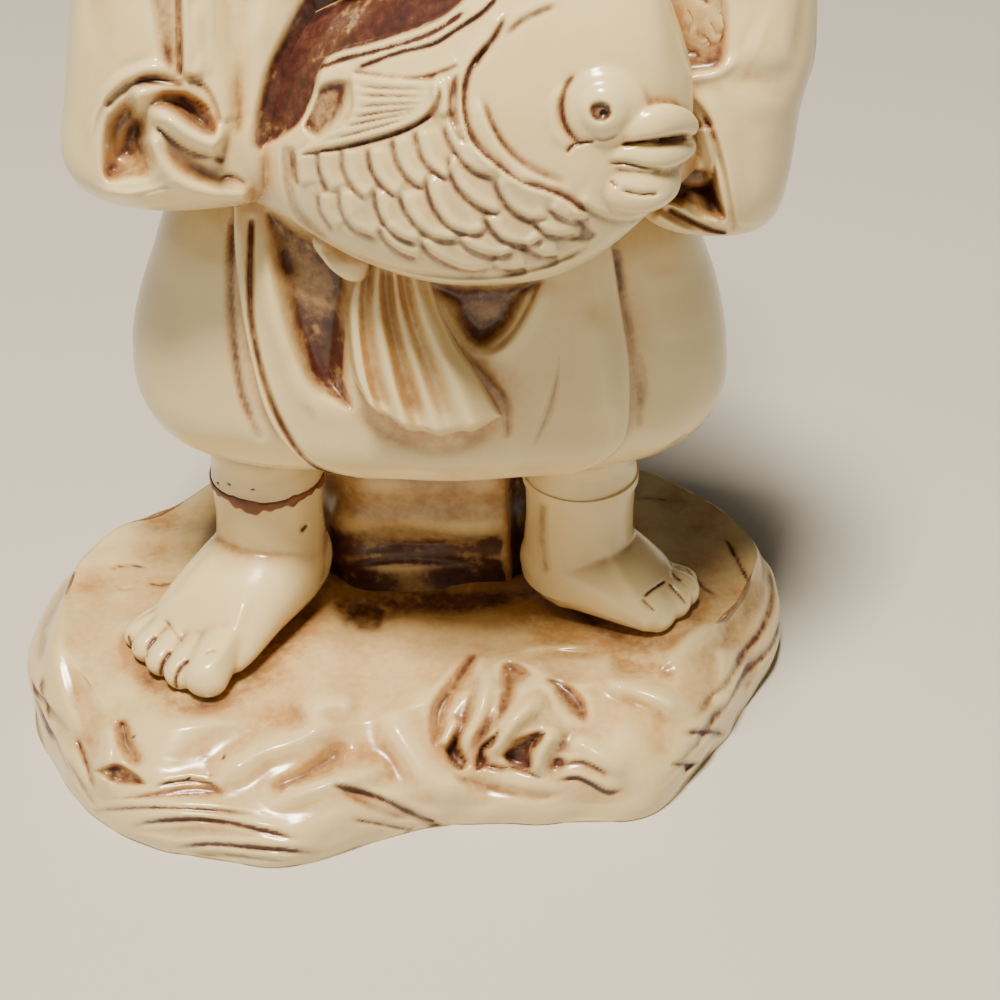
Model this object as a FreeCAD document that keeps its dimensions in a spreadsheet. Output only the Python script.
# A standing figure holding a large fish, carved in sections and pegged together on a rock.
# Sizes are in millimetres. The front of the figure faces -Y, +X is on the viewer's right and
# +Z is up. The origin is on the table under the middle of the rock. Right and left are the
# figure's own, so its right side is on -X.
import FreeCAD, Part
import math
import os

SIZES = {
    # rock
    "base_width": 94.0,
    "base_depth": 66.0,
    "stand_height": 13.0,
    "prop_width": 27.0,
    "prop_depth": 17.0,
    "prop_setback": 10.0,
    # where the figure stands on the rock
    "figure_x": 3.5,
    "figure_y": 2.0,
    # feet and legs
    "right_ankle_offset": 19.9,
    "left_ankle_offset": 17.7,
    "ankle_width": 13.4,
    "foot_height": 18.2,
    "right_foot_length": 29.0,
    "left_foot_length": 22.0,
    "right_foot_width": 18.4,
    "left_foot_width": 15.6,
    "foot_rise": 9.6,
    "heel_share": 0.3,
    "right_foot_turn": 34.0,
    "left_foot_turn": 62.0,
    "cement_thickness": 1.0,
    "cement_overhang": 0.3,
    "leg_rise": 5.6,
    "leg_tenon_radius": 4.6,
    "leg_tenon_length": 7.0,
    # trousers and robe
    "trouser_height": 42.2,
    "trouser_reach": 34.3,
    "trouser_depth": 32.0,
    "hem_rise": 4.2,
    "robe_wall": 3.8,
    "robe_back_width": 44.0,
    # upper body
    "torso_height": 46.0,
    "torso_width": 45.0,
    "torso_depth": 33.0,
    "head_height": 27.0,
    "head_width": 27.0,
    "head_depth": 28.6,
    "head_forward": 3.0,
    "ear_height": 11.0,
    "ear_depth": 5.6,
    "ear_reach": 1.9,
    "nose_size": 3.0,
    "cap_height": 27.0,
    "cap_overhang": 0.9,
    # sleeves
    "right_shoulder_drop": 2.0,
    "left_shoulder_drop": 3.4,
    "sleeve_depth": 25.0,
    "right_sleeve_drop": 3.0,
    "right_sleeve_reach": 38.0,
    "mouth_width": 9.0,
    "mouth_height": 10.0,
    "mouth_depth": 12.0,
    "left_sleeve_drop": 7.4,
    "left_sleeve_reach": 40.0,
    # hands
    "hand_length": 26.0,
    "hand_width": 9.6,
    "hand_thickness": 7.6,
    # fish
    "fish_length": 46.2,
    "fish_depth": 38.0,
    "fish_thickness": 20.0,
    "fish_lift": 9.8,
    "fish_forward": 23.0,
    "fish_shift": 3.6,
    "fish_lean": 15.0,
    "eye_width": 7.0,
    "eye_rise": 3.2,
    "lip_length": 9.4,
    "lip_height": 3.6,
    "lip_rise": 4.4,
    "fin_length": 14.4,
    "fin_width": 9.2,
    "fin_thickness": 2.4,
    "tail_length": 17.0,
    "tail_width": 15.0,
    "tail_thickness": 5.0,
    # sash
    "sash_length": 20.5,
    "sash_width": 17.0,
    "sash_thickness": 9.0,
    "sash_top_drop": 8.0,
    "knot_width": 6.6,
    "knot_height": 9.0,
    "knot_depth": 6.0,
    # pegs and their holes
    "peg_radius": 1.6,
    "peg_length": 10.0,
    "peg_clearance": 0.05,
    "peg_end_gap": 0.2,
    "overrun": 60.0,
}

# Outlines of the rock, going round from the right: shares of half its width and half its depth.
FOOT_OUTLINE_SHARES = [
    (0.985, 0.20), (0.985, 0.36), (0.93, 0.56), (0.85, 0.78), (0.71, 0.95), (0.50, 0.97),
    (0.25, 0.93), (0.0, 0.98), (-0.28, 1.0), (-0.53, 0.96), (-0.70, 0.78), (-0.86, 0.57),
    (-0.97, 0.30), (-1.0, 0.02), (-0.985, -0.26), (-0.90, -0.50), (-0.80, -0.73), (-0.66, -0.88),
    (-0.46, -0.98), (-0.25, -1.0), (-0.08, -0.89), (0.10, -0.80), (0.32, -0.785), (0.55, -0.775),
    (0.67, -0.68), (0.76, -0.48), (0.86, -0.24), (0.94, 0.02),
]
TOP_OUTLINE_SHARES = [
    (0.91, 0.17), (0.93, 0.34), (0.88, 0.54), (0.80, 0.72), (0.67, 0.84), (0.48, 0.86),
    (0.25, 0.83), (0.0, 0.86), (-0.27, 0.88), (-0.50, 0.84), (-0.64, 0.68), (-0.79, 0.50),
    (-0.89, 0.27), (-0.91, 0.02), (-0.89, -0.22), (-0.81, -0.42), (-0.72, -0.60), (-0.58, -0.68),
    (-0.41, -0.66), (-0.23, -0.66), (-0.08, -0.62), (0.10, -0.54), (0.31, -0.50), (0.50, -0.46),
    (0.63, -0.40), (0.71, -0.27), (0.80, -0.12), (0.87, 0.02),
]
# The rock's levels: share of the height, share of the way from the foot outline to the top one.
ROCK_LEVEL_SHARES = [(0.0, 0.04), (0.22, 0.0), (0.50, 0.10), (0.80, 0.52), (1.0, 1.0)]

# The prop between the legs: shares of its height, half width and half depth.
PROP_LEVEL_SHARES = [(0.0, 1.05, 1.08), (0.25, 1.0, 1.0), (0.6, 0.93, 0.92), (1.0, 0.90, 0.88)]

# A foot from heel to toes: shares of its length, half width and rise.
FOOT_STATION_SHARES = [
    (0.0, 0.34, 0.40), (0.06, 0.60, 0.72), (0.20, 0.76, 0.98), (0.40, 0.80, 1.0),
    (0.60, 0.90, 0.82), (0.78, 1.0, 0.56), (0.92, 0.96, 0.44), (1.0, 0.70, 0.28),
]
# The ankle: shares of its height and half width.
ANKLE_LEVEL_SHARES = [(0.0, 1.02), (0.45, 0.98), (0.75, 0.97), (1.0, 1.0)]

# One trouser leg: shares of its height, its outer and inner reach, and half its depth.
TROUSER_LEVEL_SHARES = [
    (0.0, 0.70, 0.30, 0.44), (0.035, 0.83, 0.10, 0.62), (0.10, 0.935, -0.12, 0.82),
    (0.21, 0.995, -0.30, 0.97), (0.33, 0.995, -0.38, 1.0), (0.46, 0.96, -0.38, 1.0),
    (0.59, 0.91, -0.38, 0.985), (0.72, 0.85, -0.38, 0.96), (0.86, 0.73, -0.34, 0.92),
    (1.0, 0.52, -0.28, 0.86),
]
# How far the robe's front panel reaches to each side of the figure's middle as a share of the
# trousers' reach, and how high each point is as a share of the way from hem to waist.
PANEL_OUTLINE_SHARES = [
    (-0.58, 1.10), (-0.585, 0.72), (-0.555, 0.42), (-0.49, 0.20), (-0.37, 0.07), (-0.16, 0.01),
    (0.10, -0.01), (0.34, 0.0), (0.53, 0.04), (0.635, 0.14), (0.645, 0.36), (0.59, 0.70), (0.51, 1.10),
]
# The trunk: shares of its height, half width and half depth.
TORSO_LEVEL_SHARES = [
    (0.0, 1.0, 1.05), (0.16, 0.96, 1.0), (0.38, 0.97, 0.98), (0.60, 1.0, 0.94), (0.78, 0.95, 0.85),
    (0.91, 0.72, 0.70), (1.0, 0.40, 0.52),
]
# The head from the neck to the cap's seat: shares of its height, half width, half depth and
# of the step forward.
HEAD_LEVEL_SHARES = [
    (0.0, 0.56, 0.54, 0.0), (0.09, 0.60, 0.62, 0.5), (0.20, 0.82, 0.83, 0.95), (0.38, 0.97, 0.96, 1.0),
    (0.62, 1.0, 1.0, 0.95), (0.84, 0.96, 0.97, 0.85), (1.0, 0.91, 0.93, 0.8),
]
# The cap: shares of its height, half width, half depth and of its lean backwards.
CAP_LEVEL_SHARES = [
    (0.0, 1.0, 1.0, 0.0), (0.12, 1.03, 1.02, 0.0), (0.34, 0.96, 0.92, 0.06), (0.62, 0.78, 0.66, 0.15),
    (0.86, 0.50, 0.38, 0.22), (1.0, 0.22, 0.16, 0.26),
]
# A sleeve from its hanging corner to the shoulder: shares of its height, its outer and inner
# reach from the middle of the figure, the shift to the front and half its depth.
RIGHT_SLEEVE_LEVEL_SHARES = [
    (0.0, 0.93, 0.42, 0.36, 0.52), (0.035, 0.97, 0.32, 0.38, 0.80), (0.11, 0.995, 0.24, 0.40, 0.98),
    (0.24, 0.97, 0.20, 0.38, 1.0), (0.42, 0.93, 0.20, 0.32, 0.96), (0.60, 0.88, 0.24, 0.22, 0.92),
    (0.78, 0.79, 0.26, 0.12, 0.82), (0.92, 0.64, 0.25, 0.04, 0.58), (1.0, 0.48, 0.27, 0.0, 0.28),
]
LEFT_SLEEVE_LEVEL_SHARES = [
    (0.0, 0.90, 0.66, 0.36, 0.40), (0.045, 0.945, 0.56, 0.37, 0.72), (0.14, 0.965, 0.50, 0.38, 0.90),
    (0.27, 0.98, 0.46, 0.36, 0.94), (0.42, 1.0, 0.44, 0.32, 0.94), (0.60, 0.97, 0.40, 0.22, 0.90),
    (0.78, 0.85, 0.34, 0.12, 0.80), (0.92, 0.66, 0.27, 0.04, 0.58), (1.0, 0.48, 0.27, 0.0, 0.28),
]
# The fish from the tail root to the nose: shares of its length, half thickness and half depth,
# of the lift of its middle and of the step forward.
FISH_STATION_SHARES = [
    (0.0, 0.42, 0.38, -0.24, -1.0), (0.11, 0.62, 0.50, -0.18, -0.72), (0.29, 0.84, 0.71, -0.09, -0.30),
    (0.47, 0.95, 0.85, 0.0, -0.06), (0.66, 1.0, 0.95, 0.15, 0.02), (0.79, 0.96, 0.91, 0.25, 0.06),
    (0.90, 0.80, 0.70, 0.27, 0.10), (0.965, 0.54, 0.42, 0.20, 0.14), (1.0, 0.26, 0.20, 0.16, 0.16),
]
# Where the face stands on the fish: shares of its length, of its half depth up and of its half
# thickness forward.
EYE_SHARES = (0.805, 0.38, 0.86)
UPPER_LIP_SHARES = (0.926, 0.26, 0.79)
LOWER_LIP_SHARES = (0.913, 0.05, 0.79)
FIN_ROOT_SHARES = (0.472, 0.30, 0.66)
# Which way the breast fin lies from its root: to the right, back and down, as shares of its length.
FIN_RUN_SHARES = (-0.92, 0.40, -0.32)
FIN_STATION_SHARES = [(0.0, 0.8, 0.45), (0.35, 1.0, 0.62), (0.7, 0.9, 0.84), (1.0, 0.6, 1.0)]
# The middle of a sleeve's mouth: shares of its reach, of its depth forward and of the trunk's height.
MOUTH_SHARES = {"right": (0.755, 0.92, 0.163), "left": (0.72, 0.86, 0.043)}
# The tail from its root: shares of its length, half thickness and half width.
TAIL_STATION_SHARES = [(0.0, 1.0, 0.42), (0.3, 0.9, 0.44), (0.65, 0.7, 0.74), (1.0, 0.5, 1.0)]
# A hand with its wrist, from the sleeve: shares of its length, half thickness and half width.
HAND_STATION_SHARES = [
    (0.0, 0.80, 0.80), (0.3, 0.80, 0.74), (0.55, 0.98, 1.0), (0.8, 0.92, 0.98), (0.93, 0.64, 0.76),
    (1.0, 0.34, 0.44),
]
# The sash's hanging end: shares of its length, its left and right edge and half its thickness.
SASH_LEVEL_SHARES = [
    (0.0, -0.08, 0.34, 0.40), (0.12, -0.34, 0.54, 0.86), (0.38, -0.48, 0.42, 1.0),
    (0.68, -0.52, 0.26, 0.94), (1.0, -0.52, 0.20, 0.80),
]
RING_POINTS = 16
OUTLINE_SAMPLES = 720
FULL_TURN = 360.0

doc = FreeCAD.newDocument("okimono")
sheet = doc.addObject("Spreadsheet::Sheet", "sizes")
for row, (alias, value) in enumerate(SIZES.items(), start=1):
    sheet.set("A%d" % row, alias)
    sheet.set("B%d" % row, str(value))
    sheet.setAlias("B%d" % row, alias)
doc.recompute()

pieces = {}


def size(alias):
    """One driving dimension, read from the sheet."""
    return float(sheet.get(alias))


def ring(centre, across, along, squareness=2.0):
    """A closed smooth curve round centre with two half axes: an ellipse where squareness is 2,
    nearer to a rectangle where it is more."""
    points = []
    for step in range(RING_POINTS):
        turn = 2.0 * math.pi * step / RING_POINTS
        c, s = math.cos(turn), math.sin(turn)
        u = math.copysign(abs(c) ** (2.0 / squareness), c)
        v = math.copysign(abs(s) ** (2.0 / squareness), s)
        points.append(centre + across * u + along * v)
    return smooth_loop(points)


def smooth_loop(points):
    """The closed curve without corners through the points."""
    curve = Part.BSplineCurve()
    curve.interpolate(points, PeriodicFlag=True)
    return Part.Wire([curve.toShape()])


def blank(name, rings):
    """A carved blank: the solid that runs smoothly through the rings."""
    feature = doc.addObject("Part::Feature", name)
    feature.Shape = Part.makeLoft(rings, True, False)
    return feature


def upright(name, rows, squareness=2.0):
    """A blank through level rings, each given as (z, x, y, half width, half depth)."""
    rings = []
    for z, x, y, half_x, half_y in rows:
        centre = FreeCAD.Vector(x, y, z)
        rings.append(ring(centre, FreeCAD.Vector(half_x, 0, 0), FreeCAD.Vector(0, half_y, 0), squareness))
    return blank(name, rings)


def bound(kind, name, **expressions):
    """A native solid whose properties follow the sheet."""
    feature = doc.addObject(kind, name)
    for path, expression in expressions.items():
        feature.setExpression(path.replace("__", "."), expression)
    return feature


def twin(name, original):
    """A copy of a finished solid, so that two booleans on it never share its faces."""
    doc.recompute()
    feature = doc.addObject("Part::Feature", name)
    feature.Shape = original.Shape.copy()
    return feature


def cut(name, base, *tools):
    """base with each tool taken out of it."""
    for number, tool in enumerate(tools, start=1):
        if tool.TypeId not in ("Part::Cylinder", "Part::Box"):
            tool = twin("%s_cutter_%d" % (name, number), tool)
        feature = doc.addObject("Part::Cut", "%s_cut_%d" % (name, number))
        feature.Base = base
        feature.Tool = tool
        base = feature
    return base


def common(name, base, tool):
    """What base and tool share."""
    feature = doc.addObject("Part::Common", name)
    feature.Base = base
    feature.Tool = tool
    return feature


def fuse(name, *parts):
    """Several solids made one."""
    feature = doc.addObject("Part::MultiFuse", name)
    feature.Shapes = list(parts)
    return feature


def keep(name, feature):
    """Names a finished piece. Its file takes the same name."""
    feature.Label = name
    pieces[name] = feature
    return feature


PEG_ROLES = {"peg": "sizes.peg_radius", "hole": "sizes.peg_radius + sizes.peg_clearance"}


def peg_and_hole(name, middle, direction="Z"):
    """A peg centred on a joint face and the tool for its hole, along Z, X or Y.
    middle holds three expressions for the point on the joint face."""
    turns = {"Z": (0, 0, 1, 0), "X": (0, 1, 0, 90), "Y": (1, 0, 0, 90)}
    ends = {"peg": "sizes.peg_length / 2", "hole": "(sizes.peg_length / 2 + sizes.peg_end_gap)"}
    made = []
    for role, radius in PEG_ROLES.items():
        solid = doc.addObject("Part::Cylinder", "%s_%s" % (name, role))
        x, y, z, angle = turns[direction]
        solid.Placement = FreeCAD.Placement(
            FreeCAD.Vector(0, 0, 0), FreeCAD.Rotation(FreeCAD.Vector(x, y, z), angle)
        )
        back = {"Z": (0, 0, -1), "X": (-1, 0, 0), "Y": (0, 1, 0)}[direction]
        solid.setExpression("Radius", radius)
        solid.setExpression("Height", "2 * " + ends[role])
        for axis, place, sign in zip("xyz", middle, back):
            shift = "" if sign == 0 else " %s %s" % ("+" if sign > 0 else "-", ends[role])
            solid.setExpression("Placement.Base." + axis, "(%s)%s" % (place, shift))
        made.append(solid)
    return made


def group(name, *solids):
    """Pegs of one kind, kept together as separate solids."""
    feature = doc.addObject("Part::Compound", name)
    feature.Links = list(solids)
    return keep(name, feature)


# Heights that several pieces share
figure_x, figure_y = size("figure_x"), size("figure_y")
stand = size("stand_height")
ankle_top = stand + size("foot_height")
trouser_bottom = ankle_top + size("cement_thickness") + size("leg_rise")
waist = trouser_bottom + size("trouser_height")
hem = trouser_bottom + size("hem_rise")
neck = waist + size("torso_height")
cap_seat = neck + size("head_height")
X_SIDE = {"right": -1.0, "left": 1.0}
SIDE_SIGN = {"right": "-", "left": "+"}
WAIST = ("(sizes.stand_height + sizes.foot_height + sizes.cement_thickness + sizes.leg_rise"
         " + sizes.trouser_height)")
ANKLE_TOP = "(sizes.stand_height + sizes.foot_height)"


def slab(name, **expressions):
    """A large box for halving a piece, placed by its sizes' expressions."""
    return bound("Part::Box", name, Length="2 * sizes.overrun", Width="2 * sizes.overrun",
                 Height="4 * sizes.overrun", **expressions)


side_slabs = {
    "right": slab("right_side", Placement__Base__x="sizes.figure_x - 2 * sizes.overrun",
                  Placement__Base__y="-sizes.overrun"),
    "left": slab("left_side", Placement__Base__x="sizes.figure_x", Placement__Base__y="-sizes.overrun"),
}
under_slab = slab("under_feet", Placement__Base__x="-sizes.overrun", Placement__Base__y="-sizes.overrun",
                  Placement__Base__z="sizes.stand_height - 4 * sizes.overrun")


def rock_rings():
    """The rock's outlines, level by level, set so that the widest one has the named width and
    depth and is centred."""
    half_width, half_depth = size("base_width") / 2.0, size("base_depth") / 2.0
    rings = []
    for height_share, inward in ROCK_LEVEL_SHARES:
        points = []
        for (fx, fy), (tx, ty) in zip(FOOT_OUTLINE_SHARES, TOP_OUTLINE_SHARES):
            x = (fx + (tx - fx) * inward) * half_width
            y = (fy + (ty - fy) * inward) * half_depth
            points.append(FreeCAD.Vector(x, y, stand * height_share))
        rings.append(smooth_loop(points))
    widest = FreeCAD.BoundBox()
    for wire in rings:
        for point in wire.discretize(OUTLINE_SAMPLES):
            widest.add(point)
    fit = FreeCAD.Matrix()
    fit.move(FreeCAD.Vector(-widest.Center.x, -widest.Center.y, 0))
    fit.scale(size("base_width") / widest.XLength, size("base_depth") / widest.YLength, 1.0)
    return [wire.transformGeometry(fit) for wire in rings]


def rock():
    """The rock that the figure stands on, with the holes for its pegs."""
    return blank("rock_blank", rock_rings())


def between_ankles():
    """The middle of the stance, halfway between the ankles."""
    return figure_x + (size("left_ankle_offset") - size("right_ankle_offset")) / 2.0


def prop_blank():
    """The upright rock behind the legs, which carries the back of the robe."""
    half_x, half_y = size("prop_width") / 2.0, size("prop_depth") / 2.0
    rows = [
        (stand + (hem - stand) * z, between_ankles(), figure_y + size("prop_setback"), half_x * w,
         half_y * d) for z, w, d in PROP_LEVEL_SHARES
    ]
    return upright("prop_blank", rows, squareness=3.0)


def foot_blank(side):
    """A foot lying on the rock and pointing outwards, with its ankle up to the seam."""
    turn = math.radians(size(side + "_foot_turn"))
    toes = FreeCAD.Vector(X_SIDE[side] * math.sin(turn), -math.cos(turn), 0)
    across = FreeCAD.Vector(toes.y, -toes.x, 0)
    ankle = FreeCAD.Vector(figure_x + X_SIDE[side] * size(side + "_ankle_offset"), figure_y, stand)
    length = size(side + "_foot_length")
    heel = ankle - toes * (length * size("heel_share"))
    rings = []
    for along, width, rise in FOOT_STATION_SHARES:
        centre = heel + toes * (length * along)
        rings.append(ring(centre, across * (size(side + "_foot_width") / 2.0 * width),
                          FreeCAD.Vector(0, 0, size("foot_rise") * rise), 2.4))
    foot = cut(side + "_foot_sole", blank(side + "_foot_blank", rings), under_slab)
    half = size("ankle_width") / 2.0
    rows = [(stand + size("foot_height") * z, ankle.x, ankle.y, half * w, half * w)
            for z, w in ANKLE_LEVEL_SHARES]
    return fuse(side + "_foot_body", foot, upright(side + "_ankle_blank", rows))


def ankle_axis(side):
    """Expressions for the ankle's middle, seen from above."""
    return ["sizes.figure_x %s sizes.%s_ankle_offset" % (SIDE_SIGN[side], side), "sizes.figure_y"]


def leg(side):
    """The short shank between the ankle seam and the trousers, with its tenon upwards."""
    x, y = ankle_axis(side)
    seam = ANKLE_TOP + " + sizes.cement_thickness"
    shank = bound("Part::Cylinder", side + "_shank", Radius="sizes.ankle_width / 2",
                  Height="sizes.leg_rise", Placement__Base__x=x, Placement__Base__y=y,
                  Placement__Base__z=seam)
    tenon = bound("Part::Cylinder", side + "_tenon", Radius="sizes.leg_tenon_radius",
                  Height="sizes.leg_rise + sizes.leg_tenon_length", Placement__Base__x=x,
                  Placement__Base__y=y, Placement__Base__z=seam)
    socket = bound("Part::Cylinder", side + "_leg_socket",
                   Radius="sizes.leg_tenon_radius + sizes.peg_clearance",
                   Height="sizes.leg_rise + sizes.leg_tenon_length + sizes.peg_end_gap",
                   Placement__Base__x=x, Placement__Base__y=y, Placement__Base__z=seam)
    return fuse(side + "_leg_body", shank, tenon), socket


def trouser_blank(side):
    """One bloused trouser leg, flat against the other on the middle plane."""
    reach, half_depth = size("trouser_reach"), size("trouser_depth") / 2.0
    rows = []
    for z, outer, inner, depth in TROUSER_LEVEL_SHARES:
        middle = X_SIDE[side] * reach * (outer + inner) / 2.0
        rows.append((trouser_bottom + size("trouser_height") * z, figure_x + middle, figure_y,
                     reach * (outer - inner) / 2.0, half_depth * depth))
    return upright(side + "_trouser_blank", rows, squareness=2.25)


def robe_blank():
    """A block one robe wall larger than the trousers all round, from the hem to the waist."""
    rows = []
    wall = size("robe_wall")
    for z, outer, inner, depth in TROUSER_LEVEL_SHARES:
        level = trouser_bottom + size("trouser_height") * z
        rows.append((level, figure_x, figure_y, size("trouser_reach") * outer + wall,
                     size("trouser_depth") / 2.0 * depth + wall))
    return upright("robe_blank", rows, squareness=2.25)


def panel_blank():
    """The outline of the robe's front panel, as a prism through the front half of the figure."""
    points = []
    for across, up in PANEL_OUTLINE_SHARES:
        x = figure_x + size("trouser_reach") * across
        points.append(FreeCAD.Vector(x, figure_y - size("overrun"), hem + (waist - hem) * up))
    edge = Part.BSplineCurve()
    edge.interpolate(points)
    outline = Part.Wire([edge.toShape(), Part.makeLine(points[-1], points[0])])
    feature = doc.addObject("Part::Feature", "panel_blank")
    feature.Shape = Part.Face(outline).extrude(FreeCAD.Vector(0, size("overrun"), 0))
    return feature


def torso_blank():
    """The trunk from the waist to the neck."""
    half_x, half_y = size("torso_width") / 2.0, size("torso_depth") / 2.0
    rows = [(waist + size("torso_height") * z, figure_x, figure_y, half_x * w, half_y * d)
            for z, w, d in TORSO_LEVEL_SHARES]
    return upright("torso_blank", rows, squareness=2.3)


def head_blank():
    """The head from the neck to the flat seat of the cap."""
    half_x, half_y = size("head_width") / 2.0, size("head_depth") / 2.0
    rows = [(neck + size("head_height") * z, figure_x, figure_y - size("head_forward") * step,
             half_x * w, half_y * d) for z, w, d, step in HEAD_LEVEL_SHARES]
    head = upright("head_blank", rows)
    parts = [head]
    middle = "sizes.figure_y - sizes.head_forward"
    height = WAIST + " + sizes.torso_height + 0.5 * sizes.head_height"
    for side, sign in SIDE_SIGN.items():
        parts.append(bound("Part::Ellipsoid", side + "_ear", Radius1="sizes.ear_height / 2",
                           Radius2="sizes.ear_reach * 2", Radius3="sizes.ear_depth / 2",
                           Placement__Base__x="sizes.figure_x %s (sizes.head_width / 2 - sizes.ear_reach)" % sign,
                           Placement__Base__y=middle + " + sizes.ear_depth / 2",
                           Placement__Base__z=height))
    parts.append(bound("Part::Ellipsoid", "nose", Radius1="sizes.nose_size", Radius2="sizes.nose_size * 0.9",
                       Radius3="sizes.nose_size", Placement__Base__x="sizes.figure_x",
                       Placement__Base__y=middle + " - sizes.head_depth / 2 + sizes.nose_size * 0.2",
                       Placement__Base__z=height))
    return fuse("head_with_ears", *parts)


def cap_blank():
    """The soft folded cap, leaning back from its band."""
    top_share, width, depth, step = HEAD_LEVEL_SHARES[-1]
    half_x = size("head_width") / 2.0 * width + size("cap_overhang")
    half_y = size("head_depth") / 2.0 * depth + size("cap_overhang")
    middle_y = figure_y - size("head_forward") * step
    rows = [(cap_seat + size("cap_height") * z, figure_x, middle_y + size("cap_height") * lean,
             half_x * w, half_y * d) for z, w, d, lean in CAP_LEVEL_SHARES]
    return upright("cap_blank", rows)


def sleeve_blank(side, level_shares):
    """A wide hanging sleeve from its lowest corner to the shoulder."""
    reach, half_depth = size(side + "_sleeve_reach"), size("sleeve_depth") / 2.0
    bottom = waist - size(side + "_sleeve_drop")
    height = neck - size(side + "_shoulder_drop") - bottom
    rows = []
    for z, outer, inner, front, depth in level_shares:
        middle = X_SIDE[side] * reach * (outer + inner) / 2.0
        rows.append((bottom + height * z, figure_x + middle,
                     figure_y - size("sleeve_depth") * front, reach * (outer - inner) / 2.0,
                     half_depth * depth))
    return upright(side + "_sleeve_blank", rows, squareness=2.3)


def fish_middle(share_along, lift, step):
    """A point on the middle line of the fish."""
    x = figure_x + size("fish_shift") + size("fish_length") * (share_along - 0.5)
    y = figure_y - size("fish_forward") - size("fish_thickness") / 2.0 * step
    z = waist + size("fish_lift") + size("fish_depth") / 2.0 * lift
    return FreeCAD.Vector(x, y, z)


def fish_axes():
    """The fish's own thickness and depth directions: it leans back against the chest."""
    lean = math.radians(size("fish_lean"))
    return (FreeCAD.Vector(0, math.cos(lean), -math.sin(lean)),
            FreeCAD.Vector(0, math.sin(lean), math.cos(lean)))


def fish_blank():
    """The fish held across the front, its head on the figure's left."""
    half_y, half_z = size("fish_thickness") / 2.0, size("fish_depth") / 2.0
    across, upwards = fish_axes()
    rings = []
    for along, thick, deep, lift, step in FISH_STATION_SHARES:
        rings.append(ring(fish_middle(along, lift, step), across * (half_y * thick),
                          upwards * (half_z * deep)))
    return blank("fish_blank", rings)


def bar(name, start, end, upright_axis, rows, half_thick, half_wide, squareness=2.2):
    """A tapering piece from start to end, with rows of shares along it."""
    run = end - start
    across = FreeCAD.Vector(run).normalize().cross(upright_axis).normalize()
    along = across.cross(FreeCAD.Vector(run).normalize()).normalize()
    rings = [ring(start + run * share, across * (half_thick * thick), along * (half_wide * wide),
                  squareness) for share, thick, wide in rows]
    return blank(name, rings)


def egg(name, centre, **radii):
    """An ellipsoid at a computed point, with its three radii bound to the sheet."""
    feature = bound("Part::Ellipsoid", name, **radii)
    feature.Placement.Base = centre
    return feature


def fish_face():
    """What stands out from the fish's side: its eye, its two lips and the breast fin."""
    parts = [egg("fish_eye", fish_middle(*EYE_SHARES), Radius1="sizes.eye_width / 2",
                 Radius2="sizes.eye_width / 2", Radius3="sizes.eye_rise / 2")]
    for name, shares in (("upper_lip", UPPER_LIP_SHARES), ("lower_lip", LOWER_LIP_SHARES)):
        parts.append(egg("fish_" + name, fish_middle(*shares), Radius1="sizes.lip_height / 2",
                         Radius2="sizes.lip_length / 2", Radius3="sizes.lip_rise / 2"))
    root = fish_middle(*FIN_ROOT_SHARES)
    end = root + FreeCAD.Vector(*FIN_RUN_SHARES) * size("fin_length")
    parts.append(bar("breast_fin", root, end, fish_axes()[1], FIN_STATION_SHARES,
                     size("fin_thickness") / 2.0, size("fin_width") / 2.0))
    return parts


def sleeve_mouth(side):
    """The hollow of a sleeve's open mouth, which faces the front."""
    out, front, up = MOUTH_SHARES[side]
    centre = FreeCAD.Vector(figure_x + X_SIDE[side] * size(side + "_sleeve_reach") * out,
                            figure_y - size("sleeve_depth") * front, waist + size("torso_height") * up)
    return egg(side + "_mouth", centre, Radius1="sizes.mouth_height / 2", Radius2="sizes.mouth_width / 2",
               Radius3="sizes.mouth_depth / 2")


def hand_blank(side):
    """A hand with its wrist, reaching from the sleeve to the fish."""
    length, deep = size("hand_length"), size("fish_depth")
    if side == "right":
        over = fish_middle(0.47, 0.0, 0.0) + fish_axes()[1] * (deep * 0.47)
        start = over + FreeCAD.Vector(-0.76 * length, 0.36 * length, 0.0 * length)
        end = start + FreeCAD.Vector(0.96 * length, -0.38 * length, 0.10 * length)
    else:
        under = fish_middle(0.90, 0.0, 0.0) - fish_axes()[1] * (deep * 0.26)
        start = under + FreeCAD.Vector(0.46 * length, 0.54 * length, 0.26 * length)
        end = start + FreeCAD.Vector(-0.78 * length, -0.40 * length, -0.24 * length)
    return bar(side + "_hand_blank", start, end, FreeCAD.Vector(0, 0, 1), HAND_STATION_SHARES,
               size("hand_width") / 2.0, size("hand_thickness") / 2.0)


def tail_blank():
    """The fish's tail, which comes out behind the right sleeve."""
    length = size("tail_length")
    start = FreeCAD.Vector(figure_x - size("torso_width") * 0.44, figure_y + size("torso_depth") * 0.20,
                           waist + size("torso_height") * 0.26)
    end = start + FreeCAD.Vector(-0.42 * length, 0.78 * length, 0.46 * length)
    return bar("tail_blank", start, end, FreeCAD.Vector(0.2, 0, 1), TAIL_STATION_SHARES,
               size("tail_thickness") / 2.0, size("tail_width") / 2.0)


def sash_blank():
    """The gathered end of the sash, which hangs in front of the robe."""
    length, width = size("sash_length"), size("sash_width")
    top = waist - size("sash_top_drop")
    front = figure_y - size("trouser_depth") / 2.0 - size("robe_wall")
    rows = []
    for z, left_edge, right_edge, thick in SASH_LEVEL_SHARES:
        rows.append((top - length * (1.0 - z), figure_x + width * (left_edge + right_edge) / 2.0,
                     front, width * (right_edge - left_edge) / 2.0,
                     size("sash_thickness") / 2.0 * thick))
    return upright("sash_blank", rows)


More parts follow.
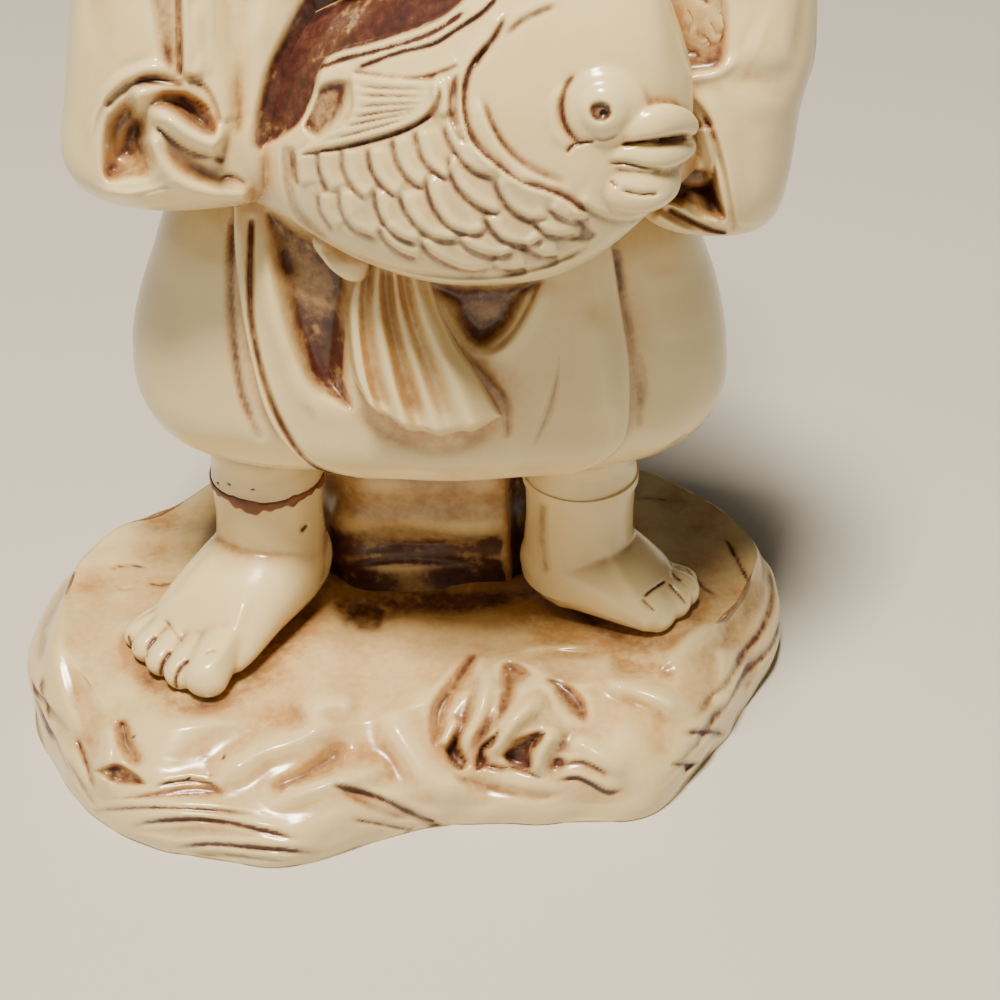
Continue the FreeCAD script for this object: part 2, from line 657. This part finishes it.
# The pieces, each cut to fit what it is seated on
rock_blank = rock()
prop = prop_blank()
feet = {side: foot_blank(side) for side in X_SIDE}
legs, leg_sockets = {}, {}
for side in X_SIDE:
    legs[side], leg_sockets[side] = leg(side)
lobes = {side: trouser_blank(side) for side in X_SIDE}
trousers = {side: common(side + "_trouser_half", twin(side + "_lobe", lobes[side]), side_slabs[side])
            for side in X_SIDE}

foot_pegs, ankle_pegs, waist_pegs, sleeve_pegs = {}, {}, {}, {}
for side in X_SIDE:
    x, y = ankle_axis(side)
    foot_pegs[side] = peg_and_hole(side + "_foot", (x, y, "sizes.stand_height"))
    ankle_pegs[side] = peg_and_hole(side + "_ankle", (x, y, ANKLE_TOP + " + sizes.cement_thickness / 2"))
    waist_x = "sizes.figure_x %s sizes.torso_width / 5" % SIDE_SIGN[side]
    waist_pegs[side] = peg_and_hole(side + "_waist", (waist_x, "sizes.figure_y", WAIST))
    sleeve_x = "sizes.figure_x %s 0.47 * sizes.torso_width" % SIDE_SIGN[side]
    sleeve_z = WAIST + " + 0.60 * sizes.torso_height"
    sleeve_pegs[side] = peg_and_hole(side + "_sleeve", (sleeve_x, "sizes.figure_y", sleeve_z), "X")
prop_peg = peg_and_hole("prop", (
    "sizes.figure_x + (sizes.left_ankle_offset - sizes.right_ankle_offset) / 2",
    "sizes.figure_y + sizes.prop_setback", "sizes.stand_height"))
neck_peg = peg_and_hole("neck", ("sizes.figure_x", "sizes.figure_y", WAIST + " + sizes.torso_height"))
cap_peg = peg_and_hole("cap", ("sizes.figure_x", "sizes.figure_y",
                               WAIST + " + sizes.torso_height + sizes.head_height"))
fish_pegs = []
for number, share in enumerate((-0.16, 0.16), start=1):
    fish_pegs.append(peg_and_hole("fish_%d" % number, (
        "sizes.figure_x + sizes.fish_shift + %g * sizes.fish_length" % share,
        "sizes.figure_y - 0.5 * sizes.torso_depth",
        WAIST + " + sizes.fish_lift"), "Y"))

keep("rock_base", cut("rock_base", rock_blank, foot_pegs["right"][1], foot_pegs["left"][1], prop_peg[1]))
for side in X_SIDE:
    keep(side + "_foot", cut(side + "_foot", feet[side], foot_pegs[side][1], ankle_pegs[side][1]))
    keep(side + "_leg", cut(side + "_leg", legs[side], ankle_pegs[side][1]))
    keep(side + "_trouser", cut(side + "_trouser", trousers[side], leg_sockets[side], waist_pegs[side][1]))
    x, y = ankle_axis(side)
    layer = bound("Part::Cylinder", side + "_cement_layer", Radius="sizes.ankle_width / 2 + sizes.cement_overhang",
                  Height="sizes.cement_thickness", Placement__Base__x=x, Placement__Base__y=y,
                  Placement__Base__z=ANKLE_TOP)
    keep(side + "_ankle_cement", cut(side + "_cement", layer, ankle_pegs[side][1]))
keep("prop_rock", cut("prop_rock", prop, feet["right"], feet["left"], legs["right"], legs["left"],
                      trousers["right"], trousers["left"], prop_peg[1]))

robe = robe_blank()
hem_slab = slab("under_hem", Placement__Base__x="-sizes.overrun", Placement__Base__y="-sizes.overrun",
                Placement__Base__z=WAIST + " - sizes.trouser_height + sizes.hem_rise - 4 * sizes.overrun")
back_width = bound("Part::Box", "back_width", Length="sizes.robe_back_width", Width="sizes.overrun",
                   Height="2 * sizes.overrun", Placement__Base__x="sizes.figure_x - sizes.robe_back_width / 2",
                   Placement__Base__y="sizes.figure_y")
robe_front = keep("robe_front", cut("robe_front", common("robe_front_half", twin("skirt_front", robe),
                                    panel_blank()), lobes["right"], lobes["left"]))
robe_back = keep("robe_back", cut("robe_back", common("robe_back_half", twin("skirt_back", robe),
                                  back_width), lobes["right"], lobes["left"], hem_slab))
torso = torso_blank()
sleeves = {}
for side, shares in (("right", RIGHT_SLEEVE_LEVEL_SHARES), ("left", LEFT_SLEEVE_LEVEL_SHARES)):
    shoulder = fuse(side + "_shoulder_seat", twin(side + "_shoulder", torso), sleeve_pegs[side][1])
    sleeves[side] = cut(side + "_sleeve", sleeve_blank(side, shares), shoulder, robe_front, trousers[side])
    keep(side + "_sleeve", cut(side + "_sleeve_mouth", twin(side + "_sleeve_twin", sleeves[side]),
                               sleeve_mouth(side)))
fish = cut("fish_fit", fish_blank(), torso, sleeves["right"], sleeves["left"], robe_front,
           trousers["right"])
knot = bound("Part::Ellipsoid", "knot_blank", Radius1="sizes.knot_height / 2",
             Radius2="sizes.knot_width / 2", Radius3="sizes.knot_depth / 2",
             Placement__Base__x="sizes.figure_x - sizes.sash_width * 0.5",
             Placement__Base__y="sizes.figure_y - sizes.trouser_depth / 2 - sizes.robe_wall",
             Placement__Base__z=WAIST + " - sizes.sash_top_drop - sizes.knot_height * 0.35")
keep("torso", cut("torso", torso, waist_pegs["right"][1], waist_pegs["left"][1], sleeve_pegs["right"][1],
                  sleeve_pegs["left"][1], neck_peg[1], fish_pegs[0][1], fish_pegs[1][1]))
keep("head", cut("head", head_blank(), neck_peg[1], cap_peg[1]))
keep("cap", cut("cap", cap_blank(), cap_peg[1]))
keep("fish_body", fuse("fish_with_face", cut("fish_body", twin("fish_twin", fish), fish_pegs[0][1],
                                             fish_pegs[1][1]), *fish_face()))
hands = {side: keep(side + "_hand", cut(side + "_hand", hand_blank(side), torso, sleeves[side], fish,
                                        robe_front)) for side in X_SIDE}
keep("fish_tail", cut("fish_tail", tail_blank(), torso, sleeves["right"]))
knot = keep("sash_knot", cut("sash_knot", knot, robe_front, fish))
keep("sash_end", cut("sash_end", sash_blank(), robe_front, fish, knot))

group("foot_pegs", foot_pegs["right"][0], foot_pegs["left"][0])
group("ankle_pegs", ankle_pegs["right"][0], ankle_pegs["left"][0])
group("waist_pegs", waist_pegs["right"][0], waist_pegs["left"][0])
group("sleeve_pegs", sleeve_pegs["right"][0], sleeve_pegs["left"][0])
group("fish_pegs", fish_pegs[0][0], fish_pegs[1][0])
keep("prop_peg", prop_peg[0])
keep("neck_peg", neck_peg[0])
keep("cap_peg", cap_peg[0])

doc.recompute()
for feature in doc.Objects:
    if any(word in feature.State for word in ("Invalid", "Error")):
        raise RuntimeError("%s failed to build" % feature.Name)
os.makedirs("parts", exist_ok=True)
for name, feature in pieces.items():
    shape = feature.Shape
    if shape.isNull() or not shape.isValid() or not shape.Solids:
        raise RuntimeError("%s has no valid solid" % name)
    shape.exportStep("parts/%s.step" % name)
    print("%-20s solids %d  volume %9.1f  box %s" % (name, len(shape.Solids), shape.Volume, shape.BoundBox))
